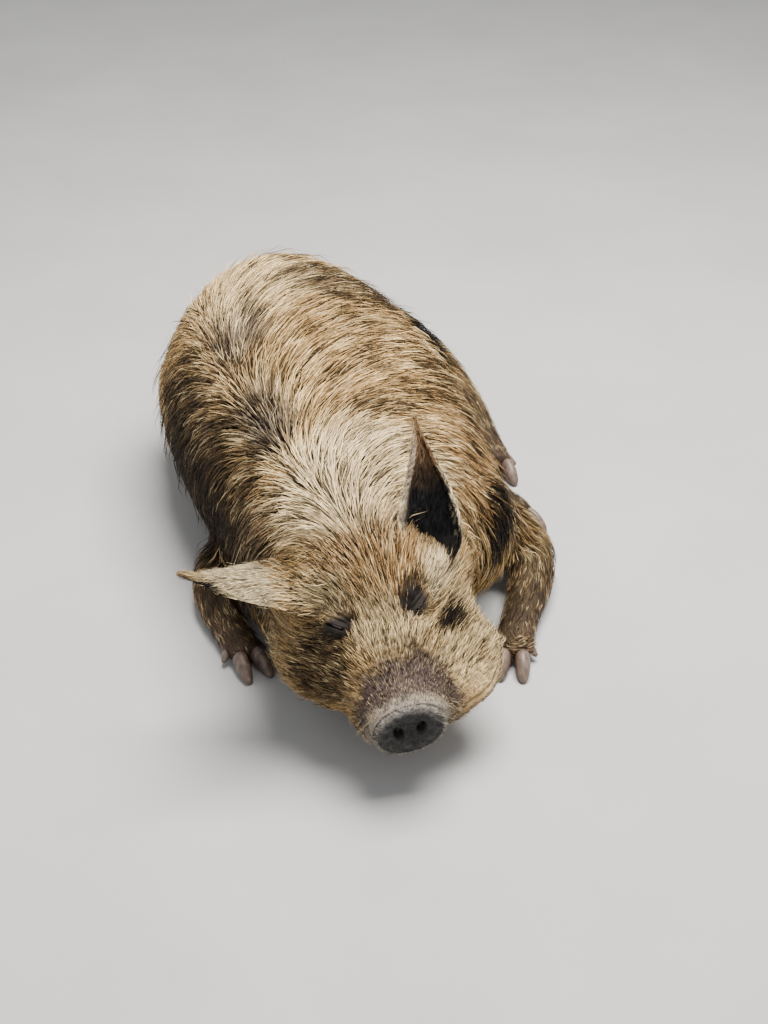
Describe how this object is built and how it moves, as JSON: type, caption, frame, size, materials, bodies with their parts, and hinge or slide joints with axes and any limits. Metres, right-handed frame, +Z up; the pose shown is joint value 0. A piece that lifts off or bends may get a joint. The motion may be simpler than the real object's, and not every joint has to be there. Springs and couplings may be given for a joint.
{
  "type": "domestic pig",
  "caption": "Life-size still model of an adult bristly-coated domestic pig lying half on its right side, head forward, eyes nearly closed.",
  "frame": {"origin": "on the floor under the middle of the animal's box", "axes": "+Z up, the pig faces -Y, its left side is +X"},
  "size_m": [0.7632, 1.173, 0.476],
  "materials": {
    "coat": "bristly hair, straw and tan with dark roots and dark patches",
    "snout_skin": "near-black bare skin, slightly damp",
    "eye": "wet gloss",
    "hoof": "dull dark horn"
  },
  "bodies": {
    "root": {"claw_inner_front_left": "hoof", "claw_inner_front_right": "hoof", "claw_inner_hind_left": "hoof", "claw_inner_hind_right": "hoof", "claw_outer_front_left": "hoof", "claw_outer_front_right": "hoof", "claw_outer_hind_left": "hoof", "claw_outer_hind_right": "hoof", "dewclaw_inner_front_left": "hoof", "dewclaw_inner_front_right": "hoof", "dewclaw_inner_hind_left": "hoof", "dewclaw_inner_hind_right": "hoof", "dewclaw_outer_front_left": "hoof", "dewclaw_outer_front_right": "hoof", "dewclaw_outer_hind_left": "hoof", "dewclaw_outer_hind_right": "hoof", "ear_left": "coat", "ear_right": "coat", "eye_left": "eye", "eye_right": "eye", "foot_hind_left": "coat", "head": "coat", "leg_front_left": "coat", "leg_front_right": "coat", "leg_hind_left": "coat", "leg_hind_right": "coat", "neck": "coat", "snout": "snout_skin", "tail": "coat", "torso": "coat"}
  },
  "joints": []
}
